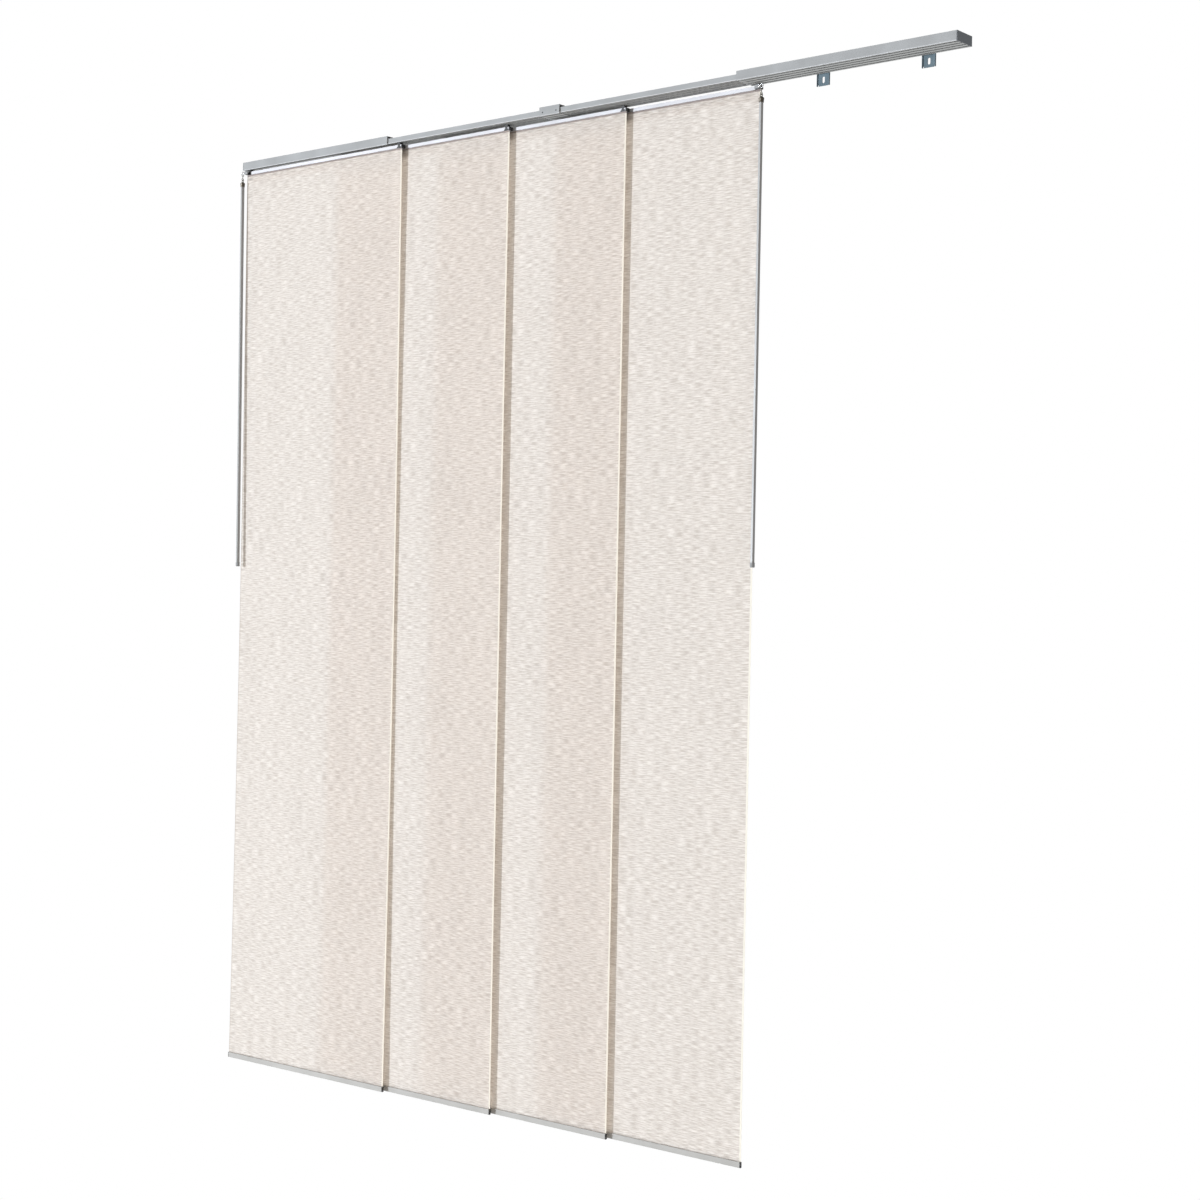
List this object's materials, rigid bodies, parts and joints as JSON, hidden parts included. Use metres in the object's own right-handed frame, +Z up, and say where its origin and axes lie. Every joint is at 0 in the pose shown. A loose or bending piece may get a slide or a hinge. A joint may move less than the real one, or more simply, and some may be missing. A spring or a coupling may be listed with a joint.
{
  "type": "panel track blind",
  "caption": "Telescoping multi-channel track with overlapping sliding fabric panels, bottom bars, mounting brackets and draw wands.",
  "frame": {"origin": "midway between the ceiling screw holes, on the top face of the brackets", "axes": "+X along the rail to the right, +Y from the room towards the wall, +Z up"},
  "size_m": [2.1844, 0.0748, 2.4],
  "materials": {
    "satin_aluminium": "satin anodised",
    "bright_aluminium": "bright satin",
    "zinc_plated": "zinc plated sheet",
    "grey_plastic": "moulded",
    "dark_plastic": "moulded",
    "black_plastic": "moulded",
    "black_steel": "blackened",
    "white_tape": "hook tape",
    "cream_fabric": "woven with fine slubs",
    "bar_aluminium": "satin",
    "steel_wire": "plated wire",
    "dark_metal": "bronzed steel",
    "wand_plastic": "grey acrylic"
  },
  "bodies": {
    "centre_track": {"inner_rail_1": "satin_aluminium", "inner_rail_2": "satin_aluminium", "inner_rail_3": "satin_aluminium", "inner_rail_4": "satin_aluminium", "centre_sleeve": "satin_aluminium", "sleeve_screws": "black_steel"},
    "left_rail": {"outer_rail_left": "satin_aluminium", "end_plate_left": "dark_plastic", "bracket_left_far": "zinc_plated", "bracket_left_near": "zinc_plated"},
    "right_rail": {"outer_rail_right": "satin_aluminium", "end_plate_right": "dark_plastic", "bracket_right_near": "zinc_plated", "bracket_right_far": "zinc_plated"},
    "panel_1": {"carrier_1": "bright_aluminium", "hanger_left_1": "black_plastic", "hanger_right_1": "black_plastic", "carrier_plugs_1": "black_plastic", "hook_tape_1": "white_tape", "fabric_1": "cream_fabric", "bottom_bar_1": "bar_aluminium", "bar_caps_1": "black_plastic", "wand_arm_left": "grey_plastic", "eye_left": "steel_wire"},
    "panel_2": {"carrier_2": "bright_aluminium", "hanger_left_2": "black_plastic", "hanger_right_2": "black_plastic", "carrier_plugs_2": "black_plastic", "hook_tape_2": "white_tape", "fabric_2": "cream_fabric", "bottom_bar_2": "bar_aluminium", "bar_caps_2": "black_plastic"},
    "panel_3": {"carrier_3": "bright_aluminium", "hanger_left_3": "black_plastic", "hanger_right_3": "black_plastic", "carrier_plugs_3": "black_plastic", "hook_tape_3": "white_tape", "fabric_3": "cream_fabric", "bottom_bar_3": "bar_aluminium", "bar_caps_3": "black_plastic"},
    "panel_4": {"carrier_4": "bright_aluminium", "hanger_left_4": "black_plastic", "hanger_right_4": "black_plastic", "carrier_plugs_4": "black_plastic", "hook_tape_4": "white_tape", "fabric_4": "cream_fabric", "bottom_bar_4": "bar_aluminium", "bar_caps_4": "black_plastic", "wand_arm_right": "grey_plastic", "eye_right": "steel_wire"},
    "left_hook": {"hook_left": "dark_metal"},
    "left_wand": {"wand_ferrule_left": "dark_metal", "wand_left": "wand_plastic", "wand_tip_left": "grey_plastic"},
    "right_hook": {"hook_right": "dark_metal"},
    "right_wand": {"wand_ferrule_right": "dark_metal", "wand_right": "wand_plastic", "wand_tip_right": "grey_plastic"}
  },
  "joints": [
    {"name": "left_rail_telescope", "type": "slide", "parent": "centre_track", "child": "left_rail", "axis": [1, 0, 0], "range_m": [0, 0.51]},
    {"name": "right_rail_telescope", "type": "slide", "parent": "centre_track", "child": "right_rail", "axis": [1, 0, 0], "range_m": [-0.51, 0]},
    {"name": "panel_1_slide", "type": "slide", "parent": "left_rail", "child": "panel_1", "axis": [1, 0, 0], "range_m": [-0.01, 1.07]},
    {"name": "panel_2_slide", "type": "slide", "parent": "panel_1", "child": "panel_2", "axis": [-1, 0, 0], "range_m": [-0.225, 0.35]},
    {"name": "panel_4_slide", "type": "slide", "parent": "right_rail", "child": "panel_4", "axis": [1, 0, 0], "range_m": [-0.55, 0.51]},
    {"name": "panel_3_slide", "type": "slide", "parent": "panel_4", "child": "panel_3", "axis": [-1, 0, 0], "range_m": [-0.354, 0.205]},
    {"name": "left_hook_swing", "type": "hinge", "parent": "panel_1", "child": "left_hook", "pos_m": [-1.0866, -0.0346, -0.0315], "axis": [0, 1, 0], "range_deg": [0, 60]},
    {"name": "left_wand_swing", "type": "hinge", "parent": "left_hook", "child": "left_wand", "pos_m": [-1.08639, -0.0346, -0.0484], "axis": [-1, 0, 0], "range_deg": [0, 60]},
    {"name": "right_hook_swing", "type": "hinge", "parent": "panel_4", "child": "right_hook", "pos_m": [0.5831, 0.0092, -0.0315], "axis": [0, 1, 0], "range_deg": [-60, 0]},
    {"name": "right_wand_swing", "type": "hinge", "parent": "right_hook", "child": "right_wand", "pos_m": [0.5831, 0.0092, -0.0484], "axis": [-1, 0, 0], "range_deg": [0, 60]}
  ]
}
